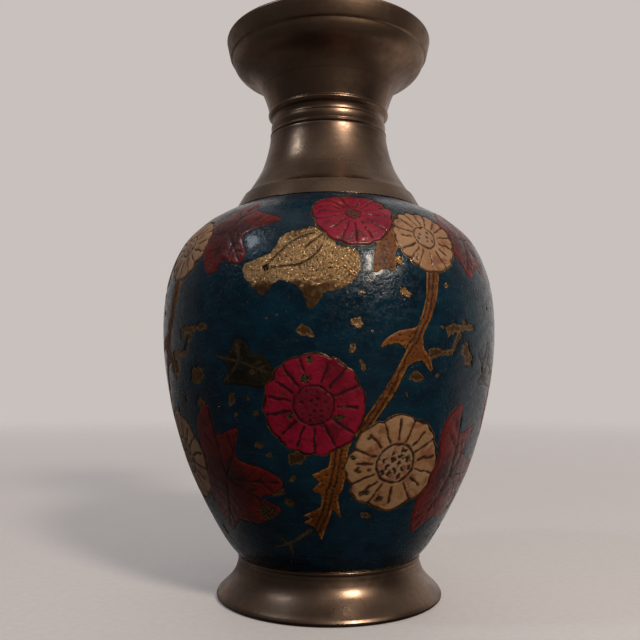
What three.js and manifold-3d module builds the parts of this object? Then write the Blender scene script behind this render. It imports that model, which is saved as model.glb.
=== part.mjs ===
// Enamelled brass vase, 205 mm high: a turned brass foot, a body in two halves, a neck and a flared
// mouth, with a coloured design laid into a shallow recess round the body.
//
// Millimetres, +Z up, origin at the centre of the foot's underside. The design repeats four times
// round the body. It is drawn flat, in millimetres along the surface: u runs round the body towards
// rising azimuth, v runs up the curve of the wall. Azimuth 0 faces -Y.
import * as THREE from 'three';
import * as BufferGeometryUtils from 'three/addons/utils/BufferGeometryUtils.js';
import Module from 'manifold-3d';

const wasm = await Module();
wasm.setup();

// ---- Driving dimensions ----
const height = 205;
const facets = 28;          // flats round every turned piece
const repeats = 4;          // times the design goes round
const clearance = 0.3;      // between neighbouring pieces
const enamelDepth = 0.6;    // thickness of the colour
const wall = 1.8;           // brass behind the colour
const bed = 0.5;            // space between the colour and the flats of the brass behind it
const recess = enamelDepth + bed;
const seamHeight = 96;      // where the two halves of the body meet, at the belly
const lapHeight = 4;        // overlap of the two halves
const enamelLow = 1.8;      // colour starts this far up the wall from the foot joint
const enamelTop = 2.2;      // and stops this far short of the neck
const rim = 1.6;            // brass left full height at both ends of the recess
const discRadius = 29.3;    // plate that closes the body's underside
const discLedge = 12.5;     // height of the foot's ledge below that plate
const topHole = 27.5;       // radius of the hole in the top of the body
const topEdge = 2.4;        // thickness of the body round that hole, and of its lower edge
const neckJoint = 167.6;    // where the mouth stands on the neck
const spigotLength = 5.5;   // length of the mouth's end that goes down into the neck
const plugLength = 5;       // length of the neck's end that goes down into the body
const lipLow = 198.4;       // underside of the lip
const flowerCorners = 12;
const wornRepeat = 1;       // the side whose upper green leaf and ground are gone, down to the brass

const degrees = Math.PI / 180;
const group = new THREE.Group();

const brass = { color: 0x8a6a48, roughness: 0.32, metalness: 1.0 };
const groundBlue = { color: 0x0a2733, roughness: 0.25, metalness: 0.0 };
const pink = { color: 0xa3203f, roughness: 0.4, metalness: 0.0 };
const cream = { color: 0xc9a583, roughness: 0.45, metalness: 0.0 };
const maroon = { color: 0x6d1f1f, roughness: 0.35, metalness: 0.0 };
const leafGreen = { color: 0x2b2a16, roughness: 0.4, metalness: 0.0 };
const ochre = { color: 0x8a5420, roughness: 0.4, metalness: 0.0 };

function addMesh(name, geometry, look) {
  const mesh = new THREE.Mesh(geometry, new THREE.MeshStandardMaterial(look));
  mesh.name = name;
  group.add(mesh);
}

// ---- The wall's curve ----
// Finished outside of the body from the foot joint to the neck, as radius and height.
const bodyCurve = new THREE.SplineCurve([
  new THREE.Vector2(32.3, 14.6),
  new THREE.Vector2(37.2, 20.5),
  new THREE.Vector2(44.5, 33.3),
  new THREE.Vector2(51.6, 49.0),
  new THREE.Vector2(57.2, 69.0),
  new THREE.Vector2(60.1, 89.0),
  new THREE.Vector2(59.4, 107.6),
  new THREE.Vector2(54.6, 122.4),
  new THREE.Vector2(47.2, 130.9),
  new THREE.Vector2(40.4, 135.4),
  new THREE.Vector2(34.4, 138.4),
]);
bodyCurve.arcLengthDivisions = 800;
const wallLength = bodyCurve.getLength();

function wallPoint(s) {
  return bodyCurve.getPointAt(THREE.MathUtils.clamp(s / wallLength, 0, 1));
}

function wallNormal(s) {
  const tangent = bodyCurve.getTangentAt(THREE.MathUtils.clamp(s / wallLength, 0, 1));
  return new THREE.Vector2(tangent.y, -tangent.x);
}

// Point of the profile at distance s up the wall, moved out by offset.
function wallOffset(s, offset) {
  return wallPoint(s).addScaledVector(wallNormal(s), offset);
}

// Distance up the wall at which the curve reaches a height.
function stationAtHeight(z) {
  let low = 0;
  let high = wallLength;
  while (high - low > 0.001) {
    const middle = (low + high) / 2;
    if (wallPoint(middle).y < z) low = middle;
    else high = middle;
  }
  return low;
}

// Stations between two distances up the wall, closer together where it curves tightly.
function stations(from, to) {
  const longestRun = 14;
  const largestTurn = 14 * degrees;
  const shortestRun = 3;
  const stride = 0.5;
  const list = [from];
  let last = from;
  for (let s = from; s < to - shortestRun; s += stride) {
    const turn = Math.abs(wallNormal(s).angle() - wallNormal(last).angle());
    const wrapped = Math.min(turn, 2 * Math.PI - turn);
    if (s - last > longestRun || wrapped > largestTurn) {
      list.push(s);
      last = s;
    }
  }
  list.push(to);
  return list;
}

// ---- Solids ----
// A closed profile of [radius, height] pairs, outside going up and inside coming down, turned about Z.
function turned(profile) {
  const points = profile.map(([radius, z]) => new THREE.Vector2(radius, z));
  points.push(points[0].clone());
  const geometry = new THREE.LatheGeometry(points, facets);
  geometry.rotateX(Math.PI / 2);
  return geometry;
}

function toManifold(geometry) {
  const bare = geometry.clone();
  bare.deleteAttribute('normal');
  bare.deleteAttribute('uv');
  const merged = BufferGeometryUtils.mergeVertices(bare, 1e-4);
  return new wasm.Manifold(new wasm.Mesh({
    numProp: 3,
    vertProperties: new Float32Array(merged.attributes.position.array),
    triVerts: new Uint32Array(merged.index.array),
  }));
}

function fromManifold(solid) {
  const mesh = solid.getMesh();
  const geometry = new THREE.BufferGeometry();
  geometry.setAttribute('position', new THREE.BufferAttribute(new Float32Array(mesh.vertProperties), 3));
  geometry.setIndex(new THREE.BufferAttribute(new Uint32Array(mesh.triVerts), 1));
  return geometry;
}

// A place on the body: point (u, v) of a motif centred at an azimuth and a distance up the wall.
function onWall(motif, [u, v], offset) {
  const s = motif.station + v;
  const azimuth = motif.azimuth * degrees + u / wallPoint(s).x;
  const place = wallOffset(s, offset);
  return [place.x * Math.sin(azimuth), -place.x * Math.cos(azimuth), place.y];
}

// A motif's outline moved outwards by a distance, corner by corner.
function grown(outline, distance) {
  return outline.map((point, i) => {
    const before = outline[(i + outline.length - 1) % outline.length];
    const after = outline[(i + 1) % outline.length];
    const inward = new THREE.Vector2(point[0] - before[0], point[1] - before[1]).normalize();
    const outward = new THREE.Vector2(after[0] - point[0], after[1] - point[1]).normalize();
    const sharpness = Math.max(0.5, Math.sqrt((1 + inward.dot(outward)) / 2));
    const side = inward.add(outward).normalize();
    const step = distance / sharpness;
    return [point[0] + side.y * step, point[1] - side.x * step];
  });
}

// A solid with the motif's outline, from one offset of the wall to another. Where the motif is
// wide, a middle ring and a hub make its faces follow the wall.
function plate(motif, outline, inner, outer) {
  const count = outline.length;
  const rings = [outline];
  if (motif.hub) {
    const [hubU, hubV] = motif.hub;
    rings.push(outline.map(([u, v]) => [(u + hubU) / 2, (v + hubV) / 2]));
    rings.push([[hubU, hubV]]);
  }
  const flat = rings.flat();
  const positions = [];
  for (const offset of [inner, outer]) {
    for (const point of flat) positions.push(...onWall(motif, point, offset));
  }
  const face = [];
  if (motif.hub) {
    for (let i = 0; i < count; i += 1) {
      const j = (i + 1) % count;
      face.push([i, j, count + j], [i, count + j, count + i], [count + i, count + j, 2 * count]);
    }
  } else {
    const contour = outline.map(([u, v]) => new THREE.Vector2(u, v));
    face.push(...THREE.ShapeUtils.triangulateShape(contour, []));
  }
  const triangles = [];
  for (const [a, b, c] of face) {
    triangles.push(a, c, b);
    triangles.push(flat.length + a, flat.length + b, flat.length + c);
  }
  for (let i = 0; i < count; i += 1) {
    const j = (i + 1) % count;
    triangles.push(i, j, flat.length + j, i, flat.length + j, flat.length + i);
  }
  return new wasm.Manifold(new wasm.Mesh({
    numProp: 3,
    vertProperties: new Float32Array(positions),
    triVerts: new Uint32Array(triangles),
  }));
}

function circle(radius, corners) {
  const outline = [];
  for (let i = 0; i < corners; i += 1) {
    const angle = 2 * Math.PI * i / corners;
    outline.push([radius * Math.cos(angle), radius * Math.sin(angle)]);
  }
  return outline;
}

// ---- The design: one repeat, every outline counter-clockwise ----
const flowers = [
  { name: 'pink_flower_lower', azimuth: -4.5, station: 60.0, radius: 15.6, look: pink },
  { name: 'cream_flower_lower', azimuth: 22.9, station: 41.4, radius: 15.9, look: cream },
  { name: 'pink_flower_upper', azimuth: 8.3, station: 121.0, radius: 12.4, look: pink },
  { name: 'cream_flower_upper', azimuth: 33.2, station: 112.5, radius: 11.8, look: cream },
];

const leaves = [
  {
    name: 'maroon_leaf_lower', azimuth: -36, station: 38, hub: [-3, -2], look: maroon,
    outline: [
      [-5.7, 22], [-12.5, 17], [-13.6, 11], [-12, 3], [-15, -9], [-10.5, -22], [-3, -17.5],
      [5, -18], [14, -12.5], [8.5, -8.2], [13.5, -6.5], [17.5, -2.5], [13, 1.5], [3, 5], [5.5, 14.5],
      [-3.5, 12.5],
    ],
  },
  {
    name: 'maroon_leaf_upper', azimuth: -32, station: 113, hub: [-3, 2], look: maroon,
    outline: [
      [1, 17], [-6, 13.5], [-11, 8.5], [-15, 3], [-12.5, -5], [-8, -11], [-4, -6.5], [1, -9],
      [5, -8], [4.6, 0.5], [14, 4.5], [9.5, 9], [2, 12.5],
    ],
  },
  {
    name: 'green_leaf_lower', azimuth: -27, station: 73, hub: [0, 0.5], look: leafGreen,
    outline: [
      [-9.6, 3.2], [-4.5, -1.5], [-7, -6.5], [0, -6.4], [9, -7], [10, -0.5], [6, 4], [1.5, 5],
      [-1.8, 8.4], [-4, 3.8],
    ],
  },
  {
    name: 'green_leaf_upper', azimuth: -8, station: 102, hub: [-0.5, 4.2], look: leafGreen,
    outline: [
      [-11, -0.5], [-5, -0.7], [0, 0.3], [4, 3], [9, 8], [6, 12], [0, 9.8], [-3.5, 7.3], [-7, 4],
    ],
  },
  {
    name: 'ochre_bud', azimuth: 17.6, station: 106, look: ochre,
    outline: [[-3.8, -5], [-0.6, -6], [1.6, -2.5], [3.4, 2], [4, 8], [-3, 8], [-2.2, 1]],
  },
  {
    name: 'stem_upper', azimuth: 24, station: 78, look: ochre,
    outline: [
      [-13, -22], [-9, -22], [-4.4, -14], [0.4, -4.6], [5, -4.7], [7.8, -7.6], [5.2, -0.5],
      [3.6, 3.4], [7.2, 10.5], [11, 24], [6.5, 24], [5, 15.5], [1, 5.4], [-5, 4.6], [-9.9, 0.2],
      [-4.5, 1.2], [-2.6, -1.5], [-6.4, -10],
    ],
  },
  {
    name: 'stem_lower', azimuth: 2, station: 32, look: ochre,
    outline: [
      [-4, -17], [-2.2, -9.5], [1.6, -9.2], [1, -1], [3, 5], [4, 14], [-1.5, 14], [-2, 8.6],
      [-6.4, 4.4], [-4, 0], [-5, -4.4], [-9.4, -8.6], [-8, -13],
    ],
  },
];

// Where the ground round the lost leaf has worn away.
const wornPatch = {
  azimuth: -8, station: 102, hub: [0, 1],
  outline: [
    [-18, 1.5], [-16.5, -5], [-11.5, -8.8], [-6, -6], [0.5, -8], [3, -13], [6, -10], [12, -7],
    [17.5, -2], [17, 5.5], [10, 9], [4, 12.5], [-3, 11.5], [-9.5, 6.5],
  ],
};

const wallCutOuter = 8;     // cutters stand out this far, so that their flat ends clear the wall
const wallCutInner = -3;    // and go in this far, through the ground

for (const flower of flowers) {
  flower.hub = [0, 0];
  flower.outline = circle(flower.radius, flowerCorners);
}

function turnedMotif(motif, repeat) {
  return { ...motif, azimuth: motif.azimuth + (repeat - 1) * 360 / repeats };
}

function cutter(motif, margin) {
  return plate(motif, grown(motif.outline, margin), wallCutInner, wallCutOuter);
}

// ---- Body halves and ground ----
const seam = stationAtHeight(seamHeight);
const lowerStations = stations(enamelLow, seam);
const upperStations = stations(seam, wallLength - enamelTop);

function offsetRow(list, offset) {
  return list.map((s) => wallOffset(s, offset).toArray());
}

const bodyInner = -recess - wall;
const lapRadial = -recess - wall / 2;

function bodyLowerProfile() {
  const lastOuter = wallPoint(seam);
  const seamLow = seamHeight - clearance / 2;
  return [
    [wallPoint(0).x, wallPoint(0).y + clearance],
    wallPoint(rim - clearance).toArray(),
    wallOffset(rim - clearance, -recess).toArray(),
    ...offsetRow(lowerStations.slice(1, -1), -recess),
    [lastOuter.x - recess, seamLow],
    [lastOuter.x + lapRadial - clearance / 2, seamLow],
    [lastOuter.x + lapRadial - clearance / 2, seamLow + lapHeight],
    [lastOuter.x + bodyInner, seamLow + lapHeight],
    ...offsetRow(lowerStations.slice(1).reverse(), bodyInner),
    [wallPoint(0).x - topEdge, wallPoint(0).y + clearance],
  ];
}

function bodyUpperProfile() {
  const firstOuter = wallPoint(seam);
  const seamTop = seamHeight + clearance / 2;
  const end = wallPoint(wallLength);
  return [
    [firstOuter.x - recess, seamTop],
    ...offsetRow(upperStations.slice(1, -1), -recess),
    wallOffset(wallLength - rim + clearance, -recess).toArray(),
    wallPoint(wallLength - rim + clearance).toArray(),
    end.toArray(),
    [topHole, end.y],
    [topHole, end.y - topEdge],
    ...offsetRow(upperStations.slice(1, -1).reverse(), bodyInner),
    [firstOuter.x + bodyInner, seamTop + lapHeight + clearance],
    [firstOuter.x + lapRadial + clearance / 2, seamTop + lapHeight + clearance],
    [firstOuter.x + lapRadial + clearance / 2, seamTop],
  ];
}

function groundProfile() {
  const list = [...lowerStations, ...upperStations.slice(1)];
  return [...offsetRow(list, 0), ...offsetRow(list.slice().reverse(), -enamelDepth)];
}

// ---- Turned pieces ----
const footTop = wallPoint(0).y;

const footProfile = [
  [37.2, 0], [39.6, 0], [40.2, 0.6], [39.9, 1.6], [37.5, 4.1], [34.9, 6.7], [33.2, 9.8],
  [wallPoint(0).x, footTop - 1], [wallPoint(0).x, footTop],
  [discRadius + clearance, footTop], [discRadius + clearance, discLedge], [27.5, discLedge],
  [27.5, discLedge - 1.4], [30.2, 10.2], [33.4, 5.8], [36.6, 2],
];

const discProfile = [
  [0, discLedge + clearance], [discRadius, discLedge + clearance], [discRadius, footTop], [0, footTop],
];

const collarSeat = wallPoint(wallLength).y + clearance;

const neckProfile = [
  [topHole - clearance, collarSeat - plugLength], [topHole - clearance, collarSeat], [34.8, collarSeat],
  [31.2, 144.4], [30.2, 146], [27.6, 149.8], [25.2, 154], [23.5, 159], [22.4, 164],
  [22, neckJoint - clearance], [19.9, neckJoint - clearance],
  [19.9, neckJoint - spigotLength - clearance], [20.6, 161], [22.4, 154.5], [25, 149],
];

const mouthProfile = [
  [18.4, neckJoint - spigotLength], [19.6, neckJoint - spigotLength], [19.6, neckJoint],
  [21.7, neckJoint], [21.7, 168.8], [21.2, 169.2], [21.4, 172.4], [21, 173.2], [21.3, 174.8],
  [22.5, 175.6], [22.6, 176.8], [22.4, 177.4], [24.8, 183.5], [27, 187.2], [31.9, 189.9],
  [35.1, 192.6], [36.6, lipLow - 0.4], [37.2, lipLow], [38.7, height - 0.5], [38.2, height],
  [36.4, height], [35.9, height - 0.6], [34.6, 197.6], [32.9, 193.8], [29.4, 191.4],
  [24.6, 188.4], [22.2, 183], [19.4, 174], [18.4, 168],
];

addMesh('foot_ring', turned(footProfile), brass);
addMesh('base_disc', turned(discProfile), brass);
addMesh('body_lower', turned(bodyLowerProfile()), brass);
addMesh('body_upper', turned(bodyUpperProfile()), brass);
addMesh('neck_collar', turned(neckProfile), brass);
addMesh('flared_mouth', turned(mouthProfile), brass);

// ---- Inlays, and the ground that they are let into ----
let ground = toManifold(turned(groundProfile()));

for (let repeat = 1; repeat <= repeats; repeat += 1) {
  const flowersBeside = [repeat - 1, repeat].flatMap((turn) => (
    flowers.map((flower) => turnedMotif(flower, turn))
  ));
  for (const flower of flowers) {
    const motif = turnedMotif(flower, repeat);
    const inlay = plate(motif, motif.outline, -enamelDepth, 0);
    addMesh(`${flower.name}_${repeat}`, fromManifold(inlay), flower.look);
    ground = ground.subtract(cutter(motif, clearance));
  }
  for (const leaf of leaves) {
    const motif = turnedMotif(leaf, repeat);
    ground = ground.subtract(cutter(motif, clearance));
    if (repeat === wornRepeat && leaf.name === 'green_leaf_upper') continue;
    let inlay = plate(motif, motif.outline, -enamelDepth, 0);
    for (const flower of flowersBeside) inlay = inlay.subtract(cutter(flower, clearance));
    addMesh(`${leaf.name}_${repeat}`, fromManifold(inlay), leaf.look);
  }
}
ground = ground.subtract(cutter(turnedMotif(wornPatch, wornRepeat), 0));
addMesh('enamel_ground', fromManifold(ground), groundBlue);

export default group;
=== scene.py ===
import math

import bpy
import numpy as np
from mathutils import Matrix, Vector
from mathutils.geometry import delaunay_2d_cdt
from mathutils.kdtree import KDTree


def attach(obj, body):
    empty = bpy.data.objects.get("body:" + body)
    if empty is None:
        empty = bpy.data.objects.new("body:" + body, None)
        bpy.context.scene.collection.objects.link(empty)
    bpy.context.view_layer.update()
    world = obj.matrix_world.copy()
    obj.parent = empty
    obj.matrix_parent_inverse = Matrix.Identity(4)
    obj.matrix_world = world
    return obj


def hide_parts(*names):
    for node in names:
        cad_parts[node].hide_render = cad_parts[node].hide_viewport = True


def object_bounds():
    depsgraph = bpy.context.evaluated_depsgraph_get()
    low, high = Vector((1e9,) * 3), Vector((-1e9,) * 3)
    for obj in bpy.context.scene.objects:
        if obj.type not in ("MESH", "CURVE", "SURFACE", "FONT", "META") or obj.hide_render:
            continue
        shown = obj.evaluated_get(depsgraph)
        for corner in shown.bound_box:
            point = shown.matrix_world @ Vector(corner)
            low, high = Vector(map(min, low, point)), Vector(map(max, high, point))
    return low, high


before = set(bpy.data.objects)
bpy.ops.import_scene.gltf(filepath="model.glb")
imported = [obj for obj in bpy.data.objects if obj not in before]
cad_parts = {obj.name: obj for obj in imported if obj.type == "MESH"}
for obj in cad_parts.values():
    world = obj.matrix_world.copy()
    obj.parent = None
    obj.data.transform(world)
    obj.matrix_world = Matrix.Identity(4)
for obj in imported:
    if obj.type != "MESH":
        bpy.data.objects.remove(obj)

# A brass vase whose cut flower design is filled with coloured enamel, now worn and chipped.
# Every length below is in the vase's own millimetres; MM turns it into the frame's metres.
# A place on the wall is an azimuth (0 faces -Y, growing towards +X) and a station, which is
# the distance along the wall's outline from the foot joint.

cad_low, cad_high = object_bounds()

HEIGHT = 205.0
MM = (cad_high.z - cad_low.z) / HEIGHT
REPEATS = 4
TURN = 2 * math.pi

# The wall, as radius and height, from the foot joint to the collar.
WALL = [
    (32.3, 14.6), (37.2, 20.5), (44.5, 33.3), (51.6, 49.0), (57.2, 69.0), (60.1, 89.0),
    (59.4, 107.6), (54.6, 122.4), (47.2, 130.9), (40.4, 135.4), (34.4, 138.4),
]
SEAM = 96.0             # height of the joint between the body's two halves
LAP = 4.0               # length of the step where one half fits into the other
WALL_THICKNESS = 2.6
BARE_LOW = 0.25         # wall left bare of enamel at the foot
BARE_TOP = 0.1          # and under the collar
BED = 0.34              # depth of the brass floor below the finished surface
BACK = 0.30             # depth of the enamel's back
EDGE_GAP = 0.2          # half the width left between a flower and the ground, for its brass edge
FIT = 0.05              # the same for every other inlay
ROW = 0.866             # distance between the rows of a triangular grid, in pitches
NUDGE = 0.12            # how far its points are moved at random, in pitches
BACK_PITCH = 3.0        # distance between the loose points on an inlay's hidden back
EDGE_DROP = 0.05        # how far the edge of an inlay is rounded down
CHIP_DEPTH = 0.2        # how far a chip in an inlay lies below its surface
SHEET_EDGE = 0.27       # depth of the bare floor along its edge
BEVEL = 0.18            # size of the rounding on the turned brass edges
SEGMENTS = 240          # flat steps round each turned piece
LATHE_RINGS = 0.9       # width of the faint rings left by the lathe


# ---- curves on the plane

def smooth(points, steps, closed=False, bend=1.0):
    """A curve through the points, as a polyline with that many steps between neighbours.

    With less bend the curve is nearer to straight lines, which keeps its corners sharp."""
    p = np.asarray(points, float)
    if closed:
        p = np.vstack([p[-1:], p, p[:2]])
    else:
        p = np.vstack([p[:1], p, p[-1:]])
    t = np.arange(steps)[:, None] / steps
    spans = []
    for a, b, c, d in zip(p, p[1:], p[2:], p[3:]):
        leave = (c - a) / 2
        arrive = (d - b) / 2
        cubic = 2 * b - 2 * c + leave + arrive
        square = -3 * b + 3 * c - 2 * leave - arrive
        curve = ((cubic * t + square) * t + leave) * t + b
        spans.append(bend * curve + (1 - bend) * (b + t * (c - b)))
    if not closed:
        spans.append(p[-1:])
    return np.vstack(spans)


def lengths(vectors):
    """The length of each vector in a list."""
    return np.hypot(vectors[:, 0], vectors[:, 1])


def angles_round(count):
    """Evenly spaced angles round a full turn."""
    return np.arange(count) * TURN / count


def distance(places, line):
    """How far each place is from the nearest point of a polyline."""
    line = np.asarray(line, float)
    near = np.full(len(places), np.inf)
    for a, b in zip(line, line[1:]):
        along = b - a
        share = np.clip((places - a) @ along / max(along @ along, 1e-12), 0, 1)
        gap = places - a - share[:, None] * along
        near = np.minimum(near, lengths(gap))
    return near


def ring(line):
    """The closed outline as a polyline that comes back to its start."""
    return np.vstack([line, line[:1]])


def within(places, outline):
    """True for each place inside the closed outline."""
    found = np.zeros(len(places), bool)
    low = outline.min(0)
    high = outline.max(0)
    near = np.flatnonzero(((places > low) & (places < high)).all(1))
    x, y = places[near].T
    odd = np.zeros(len(near), bool)
    for (x0, y0), (x1, y1) in zip(outline, np.roll(outline, -1, 0)):
        if y0 == y1:
            continue
        crosses = (y0 > y) != (y1 > y)
        odd ^= crosses & (x < x0 + (y - y0) * (x1 - x0) / (y1 - y0))
    found[near] = odd
    return found


def free(places, inside, holes):
    """True for each place that is inside and not in a hole."""
    for hole in holes:
        inside = inside & ~within(places, hole)
    return inside


def counter_clockwise(outline):
    x, y = outline.T
    area = (x * np.roll(y, -1) - np.roll(x, -1) * y).sum() / 2
    return outline if area > 0 else outline[::-1]


def grow(outline, gap):
    """The counter-clockwise outline moved outwards by the gap."""
    along = np.roll(outline, -1, 0) - np.roll(outline, 1, 0)
    along /= np.maximum(lengths(along), 1e-9)[:, None]
    return outline + gap * np.column_stack([along[:, 1], -along[:, 0]])


def ripple(places, wavelength, seed):
    """Smooth seeded noise over the plane, roughly from -1 to 1."""
    waves = 9
    rng = np.random.default_rng(seed)
    total = np.zeros(len(places))
    for _ in range(waves):
        angle = rng.uniform(0, TURN)
        turn = TURN / (wavelength * rng.uniform(0.7, 1.5))
        direction = np.array([math.cos(angle), math.sin(angle)]) * turn
        total += np.sin(places @ direction + rng.uniform(0, TURN))
    return total / math.sqrt(waves)


def shaken(line, amount, wavelength, *seeds):
    """The line with its points moved a little, by one seeded ripple along x and one along y."""
    return line + amount * np.column_stack([ripple(line, wavelength, seed) for seed in seeds])


def step(value, start, end):
    """0 up to start, 1 from end and smooth in between; with start above end it runs downwards."""
    t = np.clip((value - start) / (end - start), 0, 1)
    return t * t * (3 - 2 * t)


def ragged(half_width, half_height, tilt, seed):
    """The outline of a chip: a blob with a broken edge."""
    corners = 20
    angle = angles_round(corners)
    rng = np.random.default_rng(seed)
    reach = 1 + 0.28 * rng.uniform(-1, 1, corners)
    reach += 0.12 * np.cos(2 * angle + rng.uniform(0, TURN))
    x = half_width * reach * np.cos(angle)
    y = half_height * reach * np.sin(angle)
    c, s = math.cos(tilt), math.sin(tilt)
    return np.column_stack([c * x - s * y, s * x + c * y])


def band(path, width):
    """The outline of a strip that follows a path and narrows towards its end."""
    path = np.asarray(path, float)
    along = np.gradient(path, axis=0)
    along /= lengths(along)[:, None]
    side = np.column_stack([-along[:, 1], along[:, 0]])
    half = width / 2 * np.linspace(1, 0.45, len(path))[:, None]
    return np.vstack([path - side * half, (path + side * half)[::-1]])


# ---- the wall's surface

wall = smooth(WALL, 40)
station = np.concatenate([[0], np.cumsum(lengths(np.diff(wall, axis=0)))])
WALL_LENGTH = station[-1]
wall_slope = np.gradient(wall, station, axis=0)
seam_station, lap_station = np.interp([SEAM, SEAM + LAP], wall[:, 1], station)
low_edge = BARE_LOW
high_edge = WALL_LENGTH - BARE_TOP

# The wall is unrolled onto a flat ring that keeps every angle, so that triangles made on the
# ring are well shaped on the vase and the pattern closes round it without a seam.
RING = 500.0
middle = (wall[1:, 0] + wall[:-1, 0]) / 2
unrolled = np.concatenate([[0], np.cumsum(np.diff(station) / middle)])


def wall_at(along):
    """Radius, height and outward normal of the wall at each station."""
    radius = np.interp(along, station, wall[:, 0])
    height = np.interp(along, station, wall[:, 1])
    out = np.interp(along, station, wall_slope[:, 1])
    up = -np.interp(along, station, wall_slope[:, 0])
    size = np.hypot(out, up)
    return radius, height, out / size, up / size


def on_wall(azimuth, along, proud):
    """Points in the frame, at a height above the finished wall."""
    radius, height, out, up = wall_at(along)
    radius = radius + out * proud
    height = height + up * proud
    return np.column_stack([radius * np.sin(azimuth), -radius * np.cos(azimuth), height]) * MM


def to_ring(azimuth, along):
    reach = RING * np.exp(-np.interp(along, station, unrolled))
    return np.column_stack([reach * np.sin(azimuth), -reach * np.cos(azimuth)])


def from_ring(places):
    along = np.interp(np.log(RING / lengths(places)), unrolled, station)
    return np.arctan2(places[:, 0], -places[:, 1]), along


class Patch:
    """A flat piece of the wall round one motif, with x to the right and y up the wall."""

    def __init__(self, azimuth, along, side=1):
        self.azimuth = math.radians(azimuth + (side - 1) * 360 / REPEATS)
        self.along = along

    def on_wall(self, places, proud):
        return on_wall(*self.where(places), proud)

    def where(self, places):
        along = self.along + places[:, 1]
        return self.azimuth + places[:, 0] / wall_at(along)[0], along

    def ring(self, places):
        return to_ring(*self.where(places))

    def local(self, azimuth, along):
        """The places here of points given by azimuth and station."""
        turn = (azimuth - self.azimuth + math.pi) % TURN - math.pi
        return np.column_stack([turn * wall_at(along)[0], along - self.along])


# ---- meshes

def triangulate(places, edges, tolerance):
    """Corners, triangles and the places behind each corner, with no triangle crossing an edge."""
    found = delaunay_2d_cdt([Vector(p) for p in places], edges, [], 0, tolerance)
    return np.array([tuple(v) for v in found[0]]), np.array(found[2]), found[3]


def fill(points, outlines):
    """Triangles over loose points and closed outlines."""
    edges = []
    first = len(points)
    for line in outlines:
        edges += [(first + i, first + (i + 1) % len(line)) for i in range(len(line))]
        first += len(line)
    return triangulate(np.vstack([points, *outlines]), edges, 1e-5)[:2]


def rim(triangles):
    """The directed edges that belong to one triangle only."""
    edges = triangles[:, [0, 1, 1, 2, 2, 0]].reshape(-1, 2)
    count = triangles.max() + 1
    lonely = ~np.isin(edges[:, 0] * count + edges[:, 1], edges[:, 1] * count + edges[:, 0])
    return edges[lonely]


def lattice(low, high, pitch, seed):
    """A triangular grid of points over a box, each nudged a little."""
    rng = np.random.default_rng(seed)
    rows = []
    for i, y in enumerate(np.arange(low[1], high[1], pitch * ROW)):
        x = np.arange(low[0] + pitch / 2 * (i % 2), high[0], pitch)
        rows.append(np.column_stack([x, np.full(len(x), y)]))
    grid = np.vstack(rows)
    return grid + rng.uniform(-NUDGE, NUDGE, grid.shape) * pitch


def clear_of(points, outlines, gap):
    """The points that are at least the gap from every outline's corners."""
    corners = np.vstack(outlines)
    tree = KDTree(len(corners))
    for i, (x, y) in enumerate(corners):
        tree.insert((x, y, 0), i)
    tree.balance()
    gaps = np.broadcast_to(gap, len(points))
    keep = [tree.find((x, y, 0))[2] > g for (x, y), g in zip(points, gaps)]
    return points[np.array(keep, bool)]


def plate(flat, triangles, front, coarse, keep, place, back=-BACK):
    """A closed plate from its finely divided front: its corners and its faces.

    front is the front's height, coarse a few loose points for the back, and place puts flat
    places on the wall."""
    edge = rim(triangles)
    turned = np.unique(edge)
    order = {old: new for new, old in enumerate(turned)}
    links = [(order[a], order[b]) for a, b in edge]
    back_flat, back_faces, origins = triangulate(np.vstack([flat[turned], coarse]), links, 1e-6)
    back_faces = back_faces[keep(back_flat[back_faces].mean(1))]
    match = {}
    for new, sources in enumerate(origins):
        for source in sources:
            if source < len(turned):
                match[turned[source]] = new + len(flat)
    corners = np.vstack([place(flat, front), place(back_flat, np.full(len(back_flat), back))])
    faces = triangles.tolist()
    faces += [[b, a, match[a], match[b]] for a, b in edge]
    faces += (back_faces[:, ::-1] + len(flat)).tolist()
    return corners, faces


def trim(flat, triangles, keep):
    """Only the triangles whose middle is kept, and the corners that they use."""
    triangles = triangles[keep(flat[triangles].mean(1))]
    used, triangles = np.unique(triangles, return_inverse=True)
    return flat[used], triangles.reshape(-1, 3)


def relief(patch, outline, above, pitch, seeds, finish, spacing=0.5, back=-BACK):
    """A closed plate inside an outline, or nothing if the motifs above it cover all of it.

    finish gives the front's height and named values at flat places, told which are its edge.
    seeds nudge the points of the front and of the back."""
    reach = lengths(outline).max() + 1
    holes = []
    for motif in above:
        hole = patch.local(*motif.patch.where(motif.hole))
        if lengths(hole).min() < reach + motif.reach:
            holes.append(hole)

    def keep(places):
        return free(places, within(places, outline), holes)

    low, high = outline.min(0), outline.max(0)
    grid = lattice(low, high, pitch, seeds[0])
    grid = clear_of(grid[keep(grid)], [outline, *holes], spacing * pitch)
    flat, triangles = fill(grid, [outline, *holes])
    if not keep(flat[triangles].mean(1)).any():
        return []
    flat, triangles = trim(flat, triangles, keep)
    edge = np.unique(rim(triangles))
    height, values = finish(flat, edge)
    coarse = lattice(low, high, BACK_PITCH, seeds[1])
    coarse = clear_of(coarse[keep(coarse)], [flat[edge]], BACK_PITCH / 5)
    corners, faces = plate(flat, triangles, height, coarse, keep, patch.on_wall, back)
    return [(corners, faces, values)]


def tube(rows, columns):
    """The faces of a grid of corners that closes on itself both ways."""
    i, j = np.meshgrid(np.arange(rows), np.arange(columns), indexing="ij")
    next_i = (i + 1) % rows
    next_j = (j + 1) % columns
    faces = np.stack([i * columns + j, next_i * columns + j,
                      next_i * columns + next_j, i * columns + next_j], -1)
    return faces.reshape(-1, 4)


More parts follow.
